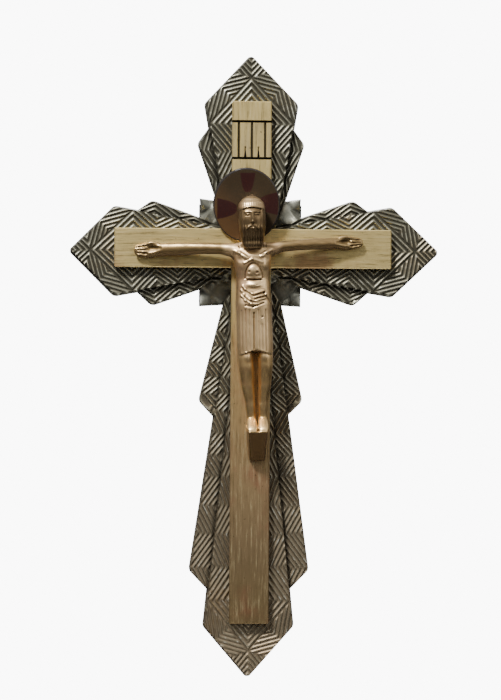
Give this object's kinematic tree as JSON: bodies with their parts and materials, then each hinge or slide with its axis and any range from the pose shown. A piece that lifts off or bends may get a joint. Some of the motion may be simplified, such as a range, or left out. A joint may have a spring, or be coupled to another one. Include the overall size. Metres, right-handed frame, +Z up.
{
  "type": "wall crucifix",
  "caption": "Wall crucifix: a stepped, chip-carved cast cross, a flat brass cross laid on it, a cast figure with outstretched arms on a wedge block, and a halo disc.",
  "frame": {"origin": "on the flat back, behind the point where the flat cross's upright and arms cross", "axes": "+Z up the upright, +X to the viewer's right along the arms, +Y through the back into the wall; the figure faces -Y"},
  "size_m": [0.1483, 0.0258, 0.2496],
  "materials": {
    "dark_bronze": "dark patina, ridges of the carving rubbed pale",
    "brushed_brass": "brushed, browner towards the foot",
    "cast_bronze": "smooth casting with dark hollows",
    "brown_enamel": "glossy dark brown with three dark red rays"
  },
  "bodies": {
    "root": {"back_plate": "dark_bronze", "inner_cross": "brushed_brass", "corpus": "cast_bronze", "halo": "brown_enamel"}
  },
  "joints": []
}
